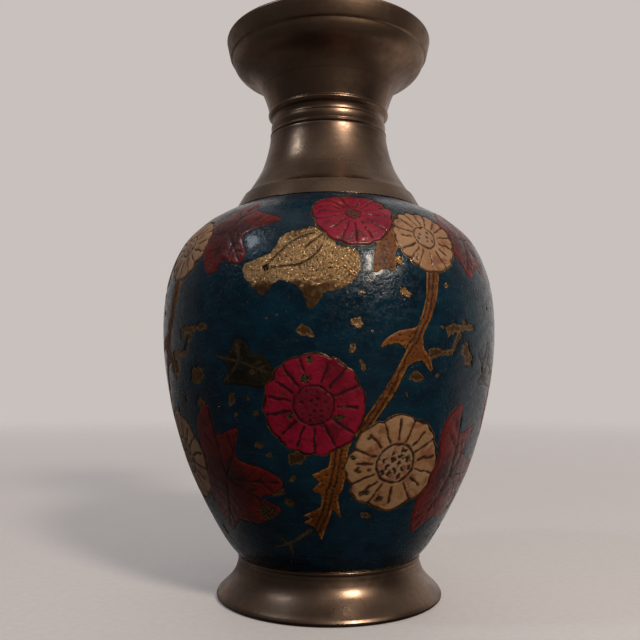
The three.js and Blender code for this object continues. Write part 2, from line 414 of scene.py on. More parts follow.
def lathe(profile):
    """Corners and faces of the solid that a closed profile sweeps round the axis."""
    angle = angles_round(SEGMENTS)
    radius = profile[:, :1]
    height = np.broadcast_to(profile[:, 1:], (len(profile), SEGMENTS))
    corners = np.stack([radius * np.sin(angle), -radius * np.cos(angle), height], -1)
    outwards = [0, 3, 2, 1]
    faces = tube(len(profile), SEGMENTS)[:, outwards]
    return corners.reshape(-1, 3) * MM, faces.tolist()


def soften(profile, radius):
    """The closed profile with a small arc at each sharp corner."""
    profile = np.asarray(profile, float)
    result = []
    for before, corner, after in zip(np.roll(profile, 1, 0), profile, np.roll(profile, -1, 0)):
        back = before - corner
        ahead = after - corner
        back_length = np.hypot(*back)
        ahead_length = np.hypot(*ahead)
        almost_straight = -(back @ ahead) / (back_length * ahead_length) > 0.93
        if almost_straight:
            result.append(corner)
            continue
        start = corner + back * min(radius / back_length, 0.4)
        end = corner + ahead * min(radius / ahead_length, 0.4)
        for t in (0, 0.25, 0.5, 0.75, 1):
            result.append((1 - t) ** 2 * start + 2 * t * (1 - t) * corner + t * t * end)
    return np.array(result)


def add_object(name, data):
    thing = bpy.data.objects.new(name, data)
    bpy.context.scene.collection.objects.link(thing)
    return thing


def make(name, parts, material, replaced, finish, sharp=40):
    """One object from parts, each of them corners, faces and named values at its corners."""
    corners = []
    faces = []
    values = {}
    first = 0
    for part_corners, part_faces, part_values in parts:
        corners.append(part_corners)
        faces += [[first + i for i in face] for face in part_faces]
        for key, numbers in part_values.items():
            values.setdefault(key, []).append((first, numbers))
        first += len(part_corners)
    mesh = bpy.data.meshes.new(name)
    mesh.from_pydata(np.vstack(corners).tolist(), [], faces)
    for key, pieces in values.items():
        full = np.zeros(first, np.float32)
        for start, numbers in pieces:
            full[start:start + len(numbers)] = numbers
        mesh.attributes.new(key, "FLOAT", "POINT").data.foreach_set("value", full)
    mesh.shade_smooth()
    mesh.set_sharp_from_angle(angle=math.radians(sharp))
    mesh.materials.append(material)
    piece = add_object(name, mesh)
    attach(piece, "root")
    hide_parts(replaced)


# ---- the design

# The first word of a flower's or leaf's name is its colour; the bud and the stems are ochre.
# A flower's lines are groups of (angles, start, end, width): engraved from the start radius to
# the end radius. Its edge bulges between the angles in scallops. Chips are bare brass, each as
# x, y, half width, half height.
PINK_LINES = (-90, -113, -138, -167, 170, 148, 128, 105, 70, 48, 23, -3, -36, -63)
CREAM_EDGES = (112, 160, 205, 242, 300, 345, 30, 70)
CREAM_MIDDLES = (90, 135, 178, 225, 270, 322, 8, 48)

FLOWERS = {
    "cream_flower_lower": dict(
        at=(22.9, 41.4), radius=15.9, scallops=CREAM_EDGES, depth=0.075,
        lines=[(CREAM_EDGES, 7.0, 16.8, 0.72), (CREAM_MIDDLES, 7.4, 14.6, 0.9)],
        eye=6.3, eye_at=(0, 0.2), eye_width=0.8, pits=14, pit_size=1.25, rib=0.05,
        chips=[(-12, -1.6, 1.1, 0.9), (-14, 2.6, 1.1, 0.8), (-3.6, -11.5, 1.3, 1.6),
               (-8.6, -9.2, 1.7, 1.5), (-8.5, -1.5, 0.7, 0.6), (-9.6, 8.6, 0.8, 0.5)]),
    "cream_flower_upper": dict(
        at=(33.2, 112.5), radius=12.1, scallops=CREAM_EDGES + CREAM_MIDDLES, depth=0.075,
        lines=[(CREAM_EDGES, 4.8, 12.2, 0.55), (CREAM_MIDDLES, 5.2, 10.6, 0.55)],
        eye=3.9, eye_at=(-0.3, 0.5), eye_width=0.55, pits=7, pit_size=0.6, rib=-0.02,
        chips=[(-5.5, -7.5, 0.7, 0.6)]),
    "pink_flower_lower": dict(
        at=(-4.5, 60), radius=15.6, scallops=PINK_LINES, depth=0.05,
        lines=[(PINK_LINES, 6.8, 15.2, 0.8)],
        eye=6.0, eye_width=0.5, pits=17, pit_size=0.55, rib=-0.09,
        chips=[(-1, 13.4, 1.2, 1.2), (-2.4, 8.2, 1.5, 1.3), (-7, -3.2, 0.8, 1.2),
               (7.4, -3.6, 1.9, 0.9), (-9.2, 3.2, 1.1, 0.3), (9.2, -0.4, 1.0, 0.3)]),
    "pink_flower_upper": dict(
        at=(8.7, 121), radius=13.2, scallops=PINK_LINES, depth=0.06,
        lines=[(PINK_LINES, 3.8, 12.0, 0.42)],
        eye=2.4, eye_width=0.4, pits=5, pit_size=0.5, rib=-0.05,
        chips=[(0, 0, 1.7, 1.4), (-7.4, 9.2, 1.6, 0.6), (-5.5, -10.2, 0.8, 0.5),
               (2.5, -11, 0.9, 0.5)]),
}

# A leaf's outline is smoothed through its corners; its veins run from the hub to the tips.
LEAVES = {
    "maroon_leaf_lower": dict(
        at=(-36, 38), hub=(-3, -2), chips=[(9, -13.5, 3.4, 3.2)],
        outline=[(-5.7, 22), (-12.5, 17), (-13.6, 11), (-12, 3), (-15, -9), (-10.5, -22),
                 (-3, -17.5), (5, -18), (14, -12.5), (8.5, -8.2), (13.5, -6.5), (17.5, -2.5),
                 (13, 1.5), (3, 5), (5.5, 14.5), (-3.5, 12.5)]),
    "maroon_leaf_upper": dict(
        at=(-32, 113), hub=(-3, 2), chips=[(-8, -9, 0.9, 0.8)],
        outline=[(1, 18.6), (-6, 14.6), (-11, 9), (-15, 3), (-13, -4), (-9, -11.4), (-5, -11.6),
                 (-2.4, -7.4), (1, -9.4), (4.6, -9.6), (6, -6.2), (3.8, -1.6), (5, 1.4),
                 (14.6, 5.4), (9.5, 8.8), (3.4, 12)]),
    "green_leaf_lower": dict(
        at=(-27, 73), hub=(0, 0.5), chips=[(4.5, -3, 1.4, 0.7)],
        outline=[(-9.4, 2.6), (-5.6, 0), (-4.2, -2.6), (-7, -6.4), (0, -6.8), (8, -7.6),
                 (11, -3.5), (10.4, -0.6), (7.4, 2.4), (4.6, 2.4), (3, 6), (-0.8, 7.4),
                 (-2.8, 4.4), (-4.6, 1.8)]),
    "green_leaf_upper": dict(
        at=(-8, 102), hub=(-0.5, 4.2), chips=[(5, 6, 1.2, 0.8)],
        outline=[(-11, -0.5), (-5, -0.7), (0, 0.3), (4, 3), (9, 8), (6, 12), (0, 9.8),
                 (-3.5, 7.3), (-7, 4)]),
}

# A stem has two engraved lines along its path.
STEMS = {
    "ochre_bud": dict(
        at=(17.6, 106), path=[(-6.5, -9), (-7, 0), (-5, 8)],
        outline=[(-4.5, -6.5), (-1.5, -5.2), (2, -5.6), (3, -2.5), (2, -0.5), (5, 3.5),
                 (5.5, 8), (-0.5, 8), (-2.8, 3), (-4.2, -1.5)]),
    "stem_upper": dict(
        at=(24, 78),
        path=[(-13.5, -27), (-11, -22), (-5.6, -12), (-1.6, -2.6), (1.6, 1.6), (3.2, 5), (6.2, 11),
              (8.8, 24)],
        outline=[(-15.6, -27), (-11.6, -27), (-9, -22), (-4, -14), (-0.6, -6.4), (2.2, -4.8),
                 (4.6, -4.6), (7.6, -7.8), (8.6, -7), (7.4, -3.8), (5, -0.8), (4.4, 3), (7.2, 8),
                 (10, 15), (11.6, 24), (6.8, 24), (5.6, 14.5), (2.4, 5.8), (-4, 4.2), (-8.2, 1.8),
                 (-9.6, -0.8), (-4, 0.6), (-1.4, -1.6), (-4.4, -7.4), (-8, -14), (-13, -22)]),
    "stem_lower": dict(
        at=(2, 32), path=[(-5.8, -15), (-2.6, -6), (-1.6, 0), (0, 6), (1.2, 14), (3.4, 20)],
        outline=[(-3.6, -17), (-2.2, -12), (-1.4, -9.4), (-0.4, -5.6), (2.2, -8.8), (1.2, -1.6),
                 (2.6, 2), (3.6, 8.5), (4, 14), (6.4, 20.5), (2.4, 20.5), (-1.2, 14), (-2, 9),
                 (-6.6, 6.4), (-4.6, 4), (-6.8, 1.2), (-4, -0.6), (-4.2, -4.8), (-9.2, -7.8),
                 (-7.2, -9), (-9.4, -10.6), (-6, -12)]),
}

# Where the front's upper green leaf and the ground round it have worn away.
WORN = dict(
    at=LEAVES["green_leaf_upper"]["at"],
    outline=[(-18.5, 1), (-18, -3.5), (-13.5, -8), (-11.5, -9.2), (-7.5, -5.5), (-4.5, -5),
             (0, -7.5), (2, -12.5), (3.5, -13.5), (5.5, -11.5), (7, -8.8), (11, -8), (15, -6),
             (17.5, -2.5), (18, 1), (16.5, 4.5), (14, 5.5), (10.5, 6.5), (9, 10), (4, 13),
             (-2, 12), (-6.5, 10), (-9.5, 4.8), (-15, 2.2)],
    lines=[[(-11, -0.5), (-9.5, 1.5), (-7, 4), (-4, 7), (0, 9.5), (3.5, 10.5)],
           [(-9, -0.5), (-4, -0.3), (0, 0.3), (4, 3), (6, 6)],
           [(1, 5.5), (3, 7.5), (6, 10)]],
    pit=(-11, -0.5))

# Bare twigs beside the stems: a motif they lie by, the path, and the width at its start.
TWIGS = [
    ("stem_upper", [(7, -3), (10, -2), (13.4, -2), (17, -1.6)], 3.4),
    ("stem_upper", [(14, 4.4), (17, 5.6), (22, 6), (28, 6.4)], 3.6),
    ("stem_upper", [(20.5, 5), (18.6, 2), (17, -1.4)], 2.8),
    ("stem_lower", [(-6.6, -13.2), (-9.4, -15.4), (-12.4, -18), (-16, -20), (-19.5, -21)], 1.6),
    ("stem_lower", [(-13.6, -19.4), (-13.3, -21.5), (-12.4, -24)], 1.4),
    ("stem_lower", [(-14.8, -18.9), (-16.4, -17.6), (-19, -16.6)], 1.3),
]

# Chips through the front's ground: azimuth, station, half width, half height, tilt.
CHIPS = [
    (-6.3, 82, 2.5, 1.7, -15), (8.1, 84.5, 1.9, 1.7, 20), (6.9, 77, 1.0, 1.6, -10),
    (9.8, 72, 0.8, 2.2, 20), (22.4, 94, 2.1, 1.3, -40), (26.9, 68.5, 2.4, 1.9, 10),
    (-31, 61.5, 1.6, 2.1, -20), (-25, 62, 0.6, 1.0, 0),
    (-45, 69, 3.8, 2.6, 30), (-10.7, 43.5, 2.8, 2.4, 0), (-23, 47.5, 1.7, 1.0, -15),
    (-19.5, 44.4, 1.1, 0.9, -30), (-22.6, 57.6, 1.0, 1.2, 0), (-18.5, 32, 2.6, 1.3, 10),
    (-14.5, 28.5, 1.8, 1.4, 0), (-12, 37, 1.4, 1.0, 40), (14.3, 24, 2.0, 1.1, 0),
    (21.3, 104, 1.7, 1.1, -60), (38, 97, 1.2, 0.9, 0), (34.6, 69, 1.0, 0.8, 0),
    (23.9, 63.5, 0.5, 0.7, 20), (-17.9, 86, 0.5, 0.4, 0), (-14.5, 87, 0.4, 0.4, 0),
    (9.6, 93.5, 0.9, 0.5, -20), (12.5, 82, 0.4, 0.4, 0), (35.5, 84, 0.8, 0.7, 0),
    (-30, 57, 0.9, 0.7, 0), (31, 28, 0.6, 0.5, 0), (17.5, 21, 0.4, 0.4, 0),
]
CHIPS_PER_SIDE = 34     # on the other three sides
GROUND_PITCH = 1.0      # distance between the points of the ground
SEED = 11


def flower_outline(look, seed):
    angle = angles_round(170)
    cuts = np.sort(np.radians(look["scallops"]) % TURN)
    cuts = np.append(cuts, cuts[0] + TURN)
    lifted = np.where(angle < cuts[0], angle + TURN, angle)
    after = np.searchsorted(cuts, lifted, side="right")
    share = (lifted - cuts[after - 1]) / (cuts[after] - cuts[after - 1])
    bulge = np.sin(math.pi * share) ** 0.6
    reach = look["radius"] * (1 - look["depth"] * (1 - bulge))
    line = np.column_stack([reach * np.cos(angle), reach * np.sin(angle)])
    return line * (1 + 0.012 * ripple(line, 3.0, seed)[:, None])


def flower_front(look, outline, places, seed):
    """Height, engraving, bare brass and tint over a flower."""
    radius = lengths(places)
    angle = np.arctan2(places[:, 1], places[:, 0])
    wander = 0.16 * ripple(places, 4, seed)
    thick = 1 + 0.3 * ripple(places, 2.5, seed + 1)
    cuts = []
    for angles, start, end, width in look["lines"]:
        width = width * thick
        for i, degrees in enumerate(angles):
            lean = angle - math.radians(degrees)
            last = end * (1 - 0.06 * ((i * 7) % 3))
            span = step(radius, start - 0.3, start + 0.4) * step(radius, last + 0.3, last - 0.5)
            line = step(np.abs(radius * np.sin(lean) + wander), 0.72 * width, 0.25 * width)
            cuts.append(line * span * (np.cos(lean) > 0))
    eye = places - look.get("eye_at", (0, 0))
    from_eye = lengths(eye)
    width = look["eye_width"] * thick
    cuts.append(step(np.abs(from_eye - look["eye"] + wander), 0.75 * width, 0.3 * width))
    rng = np.random.default_rng(seed + 2)
    uneven = 0.3 * look["pit_size"] * ripple(places, 1.3, seed + 7)
    for i in range(look["pits"]):
        reach = look["eye"] * 0.84 * math.sqrt((i + 0.4) / look["pits"])
        turn = i * 2.4 + rng.uniform(-0.2, 0.2)
        gap = eye - (reach * math.cos(turn), reach * math.sin(turn))
        size = look["pit_size"] * rng.uniform(0.8, 1.2)
        away = np.hypot(gap[:, 0] * rng.uniform(0.8, 1.3), gap[:, 1]) + uneven
        cuts.append(step(away, 0.85 * size, 0.5 * size))
    edge = distance(places, ring(outline)) + 0.3 * ripple(places, 7, seed + 6)
    cuts.append(step(edge, 0.5, 0.15))
    cut = np.max(cuts, 0)
    worn = spots(look["chips"], places, seed)
    height = 0.02 * ripple(places, 5, seed + 3) - 0.22 * cut
    return height, cut, worn, step(from_eye, look["eye"] + 0.5, look["eye"] - 0.5)


def spots(chips, places, seed):
    """1 on the chips and 0 off them, with broken edges."""
    worn = np.zeros(len(places))
    uneven = 0.25 * ripple(places, 1.6, seed + 5)
    for x, y, half_width, half_height in chips:
        reach = np.hypot((places[:, 0] - x) / half_width, (places[:, 1] - y) / half_height)
        worn = np.maximum(worn, step(reach + uneven, 1.05, 0.75))
    return worn


def tips(outline, hub):
    """The corners of an outline that stand further from the hub than their neighbours."""
    outline = np.asarray(outline, float)
    reach = lengths(outline - hub)
    return outline[(reach > np.roll(reach, 1)) & (reach > np.roll(reach, -1))]


def leaf_front(look, outline, places, seed):
    """The same over a leaf: lobes with veins and a raised edge."""
    hub = np.array(look["hub"], float)
    wander = 0.12 * ripple(places, 5, seed)
    veins = []
    for tip in tips(look["outline"], hub):
        along = tip - hub
        main = smooth([hub, hub + 0.5 * along + (0.4, -0.3), hub + 0.93 * along], 8)
        veins.append(distance(places, main))
        across = np.array([-along[1], along[0]])
        for share in (0.38, 0.6):
            root = hub + share * along
            for side in (-0.2, 0.2):
                branch = [root, root + 0.24 * along + side * across]
                veins.append(distance(places, branch) + 0.12)
    vein = np.min(veins, 0)
    cut = step(np.abs(vein + wander), 0.42, 0.12)
    edge = distance(places, ring(outline))
    ridge = np.exp(-((edge - 0.75) / 0.38) ** 2)
    swell = 0.07 * step(vein, 0.2, 2.4) * step(edge, 0, 1.6)
    height = 0.06 * ridge + swell - 0.1 * cut + 0.02 * ripple(places, 4, seed + 3)
    worn = spots(look["chips"], places, seed)
    tone = step(lengths(places - hub), 4, 13) * (0.75 + 0.25 * ripple(places, 6, seed + 4))
    return height, cut, worn, np.clip(np.maximum(tone, 0.8 * ridge), 0, 1)


def stem_front(look, outline, places, seed):
    """The same over a stem: two lines along it and paler edges."""
    wander = 0.14 * ripple(places, 3, seed)
    side = distance(places, smooth(look["path"], 8)) + wander
    cut = step(np.abs(side - 0.8), 0.5, 0.18)
    cut *= 0.85 + 0.25 * ripple(places, 1.2, seed + 1)
    edge = distance(places, ring(outline))
    hatch = np.clip(ripple(places, 1.3, seed + 2) - 0.7, 0, 1) * step(side, 1.4, 1.8)
    cut = np.clip(np.maximum(cut, 1.6 * hatch), 0, 1)
    height = 0.1 * step(edge, 0, 0.8) - 0.12 * cut
    worn = np.clip(0.8 * ripple(places, 2.6, seed + 4) - 0.9, 0, 1)
    pale = (0.55 + 0.35 * ripple(places, 5, seed + 5)) * step(edge, 0.8, 0.2)
    return height, cut, worn, np.clip(pale, 0, 1)


def edge_rib(outline, patch, level, seed):
    """The thin edge of brass left standing round a flower, low and high by turns."""
    top = level + 0.06 * ripple(outline, 7, seed)
    base = np.full(len(outline), -BED - 0.05)
    half = 0.17
    slope = 0.35 * half
    rails = [(-half, base), (-half, top - slope), (0, top), (half, top - slope), (half, base)]
    corners = [patch.on_wall(grow(outline, side), proud) for side, proud in rails]
    return np.vstack(corners), tube(len(rails), len(outline)).tolist(), {}


# ---- materials

def paint(red, green, blue):
    """A linear colour from the usual screen values of 0 to 255."""
    levels = [c / 255 for c in (red, green, blue)]
    linear = [c / 12.92 if c <= 0.04045 else ((c + 0.055) / 1.055) ** 2.4 for c in levels]
    return (*linear, 1.0)


class Recipe:
    """The node tree of a material or of the world, built one node at a time."""

    def __init__(self, owner, coordinates="Object"):
        self.owner = owner
        owner.use_nodes = True
        owner.node_tree.nodes.clear()
        self.here = self.add("TexCoord").outputs[coordinates]

    def add(self, kind, inputs=None, **settings):
        """A node with its settings, its inputs linked to sockets or set to constants."""
        tree = self.owner.node_tree
        node = tree.nodes.new("ShaderNode" + kind)
        for key, value in settings.items():
            setattr(node, key, value)
        for key, value in (inputs or {}).items():
            if isinstance(value, bpy.types.NodeSocket):
                tree.links.new(value, node.inputs[key])
            else:
                node.inputs[key].default_value = value
        return node

    def noise(self, size, detail=3.0, roughness=0.5, where=None):
        """Noise with features about that many millimetres wide."""
        inputs = {"Vector": where or self.here, "Scale": 1 / (size * MM), "Detail": detail,
                  "Roughness": roughness}
        return self.add("TexNoise", inputs).outputs["Fac"]

    def remap(self, value, start, end, low=0.0, high=1.0):
        inputs = {"Value": value, "From Min": start, "From Max": end, "To Min": low, "To Max": high}
        return self.add("MapRange", inputs, interpolation_type="SMOOTHSTEP").outputs["Result"]

    def math(self, operation, first, second):
        node = self.add("Math", {0: first, 1: second}, operation=operation, use_clamp=True)
        return node.outputs[0]

    def times(self, first, second):
        return self.math("MULTIPLY", first, second)

    def most(self, first, second):
        return self.math("MAXIMUM", first, second)

    def blend(self, share, first, second):
        return self.add("Mix", {0: share, 6: first, 7: second}, data_type="RGBA").outputs[2]

    def named(self, key):
        return self.add("Attribute", attribute_name=key).outputs["Fac"]

    def bump(self, height, depth, after=None):
        inputs = {"Height": height, "Distance": depth * MM}
        if after:
            inputs["Normal"] = after
        return self.add("Bump", inputs).outputs["Normal"]

    def surface(self, colour, metallic, roughness, normal, others=None):
        inputs = {"Base Color": colour, "Metallic": metallic, "Roughness": roughness,
                  "Normal": normal, **(others or {})}
        return self.add("BsdfPrincipled", inputs).outputs[0]

    def finish(self, *surface):
        self.add("OutputMaterial", {0: self.surface(*surface)})
        return self.owner


def aged_brass(name, dark, warm, dirt, dull_from=2 * HEIGHT):
    """Handled brass: blotchy brown patina, lathe rings, smudges, and dirt with painted shade in the
    corners.

    It is darker and duller from the given height upwards."""
    r = Recipe(bpy.data.materials.new(name))
    level = r.add("SeparateXYZ", {0: r.here}).outputs["Z"]
    dull = r.remap(level, dull_from * MM, (dull_from + 8) * MM)
    blotch = r.remap(r.noise(20, 5, 0.6), 0.38, 0.64)
    mottle = r.remap(r.noise(2.2, 6, 0.65), 0.35, 0.7)
    colour = r.blend(blotch, dark, warm)
    colour = r.blend(r.times(mottle, 0.16), colour, dirt)
    colour = r.blend(r.times(dull, 0.12), colour, dirt)
    ring_inputs = {"W": level, "Scale": 1 / (LATHE_RINGS * MM), "Detail": 4.0}
    rings = r.add("TexNoise", ring_inputs, noise_dimensions="1D").outputs["Fac"]
    colour = r.blend(r.remap(rings, 0.62, 0.75, 0, 0.3), colour, dirt)
    # Painted shade and dirt: the colour goes towards the dirt colour wherever ambient occlusion
    # finds the surface closed in, in corners and under beads.
    occlusion_shade = r.add("AmbientOcclusion", {"Distance": 2.5 * MM}, samples=8).outputs["AO"]
    colour = r.blend(r.remap(occlusion_shade, 0.3, 0.75, 0.75, 0), colour, dirt)
    specks = r.remap(r.noise(0.8, 2), 0.72, 0.78, 0, 0.7)
    colour = r.blend(specks, colour, dirt)
    rough = r.math("ADD", r.remap(blotch, 0, 1, 0.06, 0), r.remap(mottle, 0, 1, 0.26, 0.32))
    rough = r.math("ADD", rough, r.times(dull, 0.1))
    normal = r.bump(rings, 0.012)
    normal = r.bump(mottle, 0.004, normal)
    return r.finish(colour, 1.0, rough, normal)


def stippled_brass(name, dark, light, dirt):
    """The textured brass floor under the enamel: fine punched grain, brown in the hollows, with
    painted glints on its coarse parts.
    """
    r = Recipe(bpy.data.materials.new(name))
    grain = r.noise(0.34, 3, 0.7)
    coarse = r.named("grain")
    blotch = r.remap(r.noise(1.8, 4), 0.42, 0.66, 0, 0.6)
    shine = r.times(coarse, r.remap(r.noise(9, 3), 0.3, 0.62, 0.3, 1.0))
    colour = r.blend(r.most(blotch, shine), dark, light)
    hollow = r.remap(grain, 0.54, 0.38, 0.0, 0.4)
    deeper = r.times(r.remap(grain, 0.56, 0.4), coarse)
    colour = r.blend(r.most(hollow, deeper), colour, dirt)
    # Painted highlight: near-white glints painted where the grain is high, more where the floor is
    # coarse.
    painted_glint = r.times(r.remap(grain, 0.54, 0.64), coarse)
    colour = r.blend(painted_glint, colour, paint(255, 228, 180))
    colour = r.blend(r.named("cut"), colour, dirt)
    rough = r.remap(grain, 0.4, 0.65, 0.46, 0.22)
    normal = r.bump(grain, 0.05)
    normal = r.bump(r.times(grain, coarse), 0.22, normal)
    return r.finish(colour, 0.9, rough, normal)


def enamel(name, body, shade, tone, line, stain=None, rough=0.3, specks=0.74, coat=0.25):
    """Glossy filled colour: uneven tint, engraved lines, and bare brass where it has chipped."""
    r = Recipe(bpy.data.materials.new(name))
    colour = r.blend(r.remap(r.noise(7, 4), 0.35, 0.68), body, shade)
    colour = r.blend(r.named("tone"), colour, tone)
    fine = r.noise(0.9, 5, 0.65)
    colour = r.blend(r.remap(fine, 0.55, 0.72, 0, 0.45), colour, shade)
    around = r.add("Mapping", {"Vector": r.here, "Scale": (0.18, 0.18, 1.0)}).outputs[0]
    streaks = r.noise(1.6, 4, 0.6, around)
    colour = r.blend(r.remap(streaks, 0.5, 0.72, 0, 0.4), colour, tone)
    if stain:
        colour = r.blend(r.remap(r.noise(4.5, 4, 0.65), 0.5, 0.62, 0, 0.7), colour, stain)
    colour = r.blend(r.named("cut"), colour, line)
    small = r.remap(r.noise(0.75, 2), specks, specks + 0.02)
    sparse = r.remap(r.noise(9, 2), 0.5, 0.6)
    bare = r.most(r.named("worn"), r.times(small, sparse))
    grain = r.noise(0.4, 2)
    metal = r.blend(r.remap(grain, 0.4, 0.6), paint(52, 38, 22), paint(150, 120, 82))
    colour = r.blend(bare, colour, metal)
    roughness = r.remap(r.noise(2, 5, 0.7), 0.35, 0.65, rough - 0.1, rough + 0.16)
    roughness = r.most(roughness, r.times(r.named("cut"), 0.7))
    surface = r.bump(r.noise(3.2, 3), 0.09)
    surface = r.bump(streaks, 0.05, surface)
    surface = r.bump(r.noise(1.0, 3, 0.6), 0.16, surface)
    surface = r.bump(r.times(grain, bare), 0.12, surface)
    grit = r.times(r.remap(r.noise(0.7, 1), 0.64, 0.72), r.remap(r.noise(6, 2), 0.48, 0.6))
    surface = r.bump(grit, 0.2, surface)
    gloss = {"IOR": 1.42, "Coat Weight": coat, "Coat Roughness": 0.12, "Coat IOR": 1.4}
    return r.finish(colour, r.times(bare, 0.85), roughness, surface, gloss)


brass = aged_brass("aged_brass", paint(124, 103, 88), paint(150, 125, 105), paint(60, 46, 38))
tarnished = aged_brass("tarnished_brass", paint(138, 114, 97), paint(166, 138, 115),
                       paint(66, 51, 42), dull_from=178)
floor_brass = stippled_brass("stippled_brass", paint(136, 100, 66), paint(212, 168, 112),
                             paint(34, 22, 14))

# Each enamel's body, darker blotches, second tint, engraved lines, and stains where it has them.
PAINTS = {
    "blue": [(8, 50, 70), (5, 35, 52), (26, 68, 82), (10, 12, 12)],
    "pink": [(172, 20, 58), (142, 12, 42), (124, 20, 42), (50, 4, 14), (96, 12, 34)],
    "cream": [(198, 154, 114), (180, 134, 92), (186, 148, 116), (58, 30, 12), (150, 86, 62)],
    "maroon": [(90, 22, 19), (60, 13, 11), (128, 30, 26), (34, 8, 8)],
    "green": [(32, 28, 14), (18, 18, 10), (46, 34, 18), (66, 54, 36)],
    "ochre": [(136, 74, 20), (104, 52, 12), (186, 126, 56), (34, 15, 5)],
}
GLAZES = {
    "blue": dict(rough=0.22, specks=0.7),
    "pink": dict(rough=0.38, specks=0.71),
    "cream": dict(rough=0.42, specks=0.72),
    "ochre": dict(rough=0.5, coat=0.0),
}
ENAMELS = {}
for name, colours in PAINTS.items():
    finish = name + "_enamel"
    ENAMELS[finish] = enamel(finish, *[paint(*c) for c in colours], **GLAZES.get(name, {}))


# ---- enamel pieces

FRONTS = {"flower": flower_front, "leaf": leaf_front, "stem": stem_front}
PITCH = {"flower": 0.38, "leaf": 0.5, "stem": 0.36}
BEND = {"leaf": 1.0, "stem": 0.4}


class Motif:
    """One inlay on one side of the vase, with its outline in its own flat patch."""

    def __init__(self, name, look, side, kind):
        self.name = f"{name}_{side}"
        self.look = look
        self.kind = kind
        self.finish = ("ochre" if kind == "stem" else name.split("_")[0]) + "_enamel"
        self.patch = Patch(*look["at"], side)
        self.seed = SEED * side + sum(map(ord, name))
        if kind == "flower":
            self.outline = flower_outline(look, self.seed)
        else:
            line = counter_clockwise(smooth(look["outline"], 7, closed=True, bend=BEND[kind]))
            self.outline = line * (1 + 0.008 * ripple(line, 3, self.seed)[:, None])
        self.gap = EDGE_GAP if kind == "flower" else FIT
        self.reach = lengths(self.outline).max()
        self.hole = grow(self.outline, self.gap)

    def inlay(self, above):
        """The motif's closed, engraved plate, cut away under the motifs above it."""
        outline = grow(self.outline, -self.gap)

        def finish(flat, edge):
            height, cut, worn, tone = FRONTS[self.kind](self.look, outline, flat, self.seed)
            height = height * (1 - worn) - CHIP_DEPTH * worn
            height[edge] -= EDGE_DROP
            return height, {"cut": cut, "worn": worn, "tone": tone}

        seeds = (self.seed, self.seed + 1)
        return relief(self.patch, outline, above, PITCH[self.kind], seeds, finish)


SIDES = range(1, REPEATS + 1)
motifs = [Motif(name, look, side, "flower") for side in SIDES for name, look in FLOWERS.items()]
flowers = list(motifs)
for side in SIDES:
    for name, look in LEAVES.items():
        if name != "green_leaf_upper" or side != 1:
            motifs.append(Motif(name, look, side, "leaf"))
    motifs += [Motif(name, look, side, "stem") for name, look in STEMS.items()]

for i, motif in enumerate(motifs):
    make(motif.name + "_inlay", motif.inlay(motifs[:i]), ENAMELS[motif.finish],
         replaced=motif.name, finish=motif.finish)


# ---- the ground

worn_patch = Patch(*WORN["at"])
worn_line = counter_clockwise(smooth(WORN["outline"], 8, closed=True))
worn_line = shaken(worn_line, 0.3, 1.4, 3, 4)


def chips_on(side):
    """The chips and twigs on one side: each a patch and an outline in it."""
    chips = CHIPS
    if side > 1:
        rng = np.random.default_rng(SEED + side)
        chips = []
        for _ in range(CHIPS_PER_SIDE):
            size = 0.5 + 2.4 * rng.random() ** 1.5
            chips.append((rng.uniform(-45, 45), rng.uniform(12, 118), size * rng.uniform(0.7, 1.4),
                          size, rng.uniform(-60, 60)))
    found = []
    for i, (azimuth, along, half_width, half_height, tilt) in enumerate(chips):
        seed = SEED * 100 + side * 40 + i
        line = ragged(half_width, half_height, math.radians(tilt), seed)
        found.append((Patch(azimuth, along, side), line))
    for i, (name, path, width) in enumerate(TWIGS):
        line = shaken(band(smooth(path, 5), width), 0.12 * width, 1.3, i, i + 9)
        found.append((Patch(*STEMS[name]["at"], side), line))
    return found


chips = [chip for side in SIDES for chip in chips_on(side)]


def ground():
    """The plate that fills the wall round all motifs, chips, twigs and the worn patch."""
    holes = [motif.patch.ring(motif.hole) for motif in motifs]
    holes.append(worn_patch.ring(worn_line))
    holes += [patch.ring(line) for patch, line in chips]
    steps = 300
    around = angles_round(steps)
    ends = [to_ring(around, np.full(steps, level)) for level in (low_edge, high_edge)]
    inner = lengths(ends[1])[0] * math.cos(math.pi / steps)
    outer = lengths(ends[0])[0]

    def keep(places):
        reach = lengths(places)
        return free(places, (reach > inner) & (reach < outer), holes)

    def grid(pitch, seed):
        """Loose points with one pitch on the wall, and the ring's scale at each of them."""
        rng = np.random.default_rng(seed)
        rows = []
        levels = np.arange(low_edge + pitch * 0.7, high_edge - pitch * 0.5, pitch * 0.87)
        for i, along in enumerate(levels):
            count = round(TURN * wall_at(along)[0] / pitch)
            azimuth = (np.arange(count) + i % 2 / 2 + rng.uniform(-0.1, 0.1, count)) * TURN / count
            rows.append(to_ring(azimuth, along + rng.uniform(-0.1, 0.1, count) * pitch))
        places = np.vstack(rows)
        places = places[keep(places)]
        return places, lengths(places) / wall_at(from_ring(places)[1])[0]

    places, scale = grid(GROUND_PITCH, SEED)
    places = clear_of(places, [*holes, *ends], scale * 0.42)
    flat, triangles = trim(*fill(places, [*holes, *ends]), keep)
    azimuth, along = from_ring(flat)
    radius, height, _, _ = wall_at(along)
    spread = np.column_stack([radius * np.sin(azimuth), radius * np.cos(azimuth) + 2 * height])
    wave = 0.03 * ripple(spread, 9, 5) + 0.02 * ripple(spread, 4, 6)
    edge = np.unique(rim(triangles))
    wave[edge] -= 0.06
    coarse, scale = grid(4 * GROUND_PITCH, SEED + 1)
    coarse = clear_of(coarse, [flat[edge]], scale * 0.8)

    def place(on_ring, proud):
        return on_wall(*from_ring(on_ring), proud)

    corners, faces = plate(flat, triangles, wave, coarse, keep, place)
    return corners, faces, {"tone": 0.35 * step(ripple(spread, 14, 8), 0.5, 1.8)}


make("enamel_ground_glaze", [ground()], ENAMELS["blue_enamel"], sharp=60,
     replaced="enamel_ground", finish="blue_enamel")


# ---- brass pieces

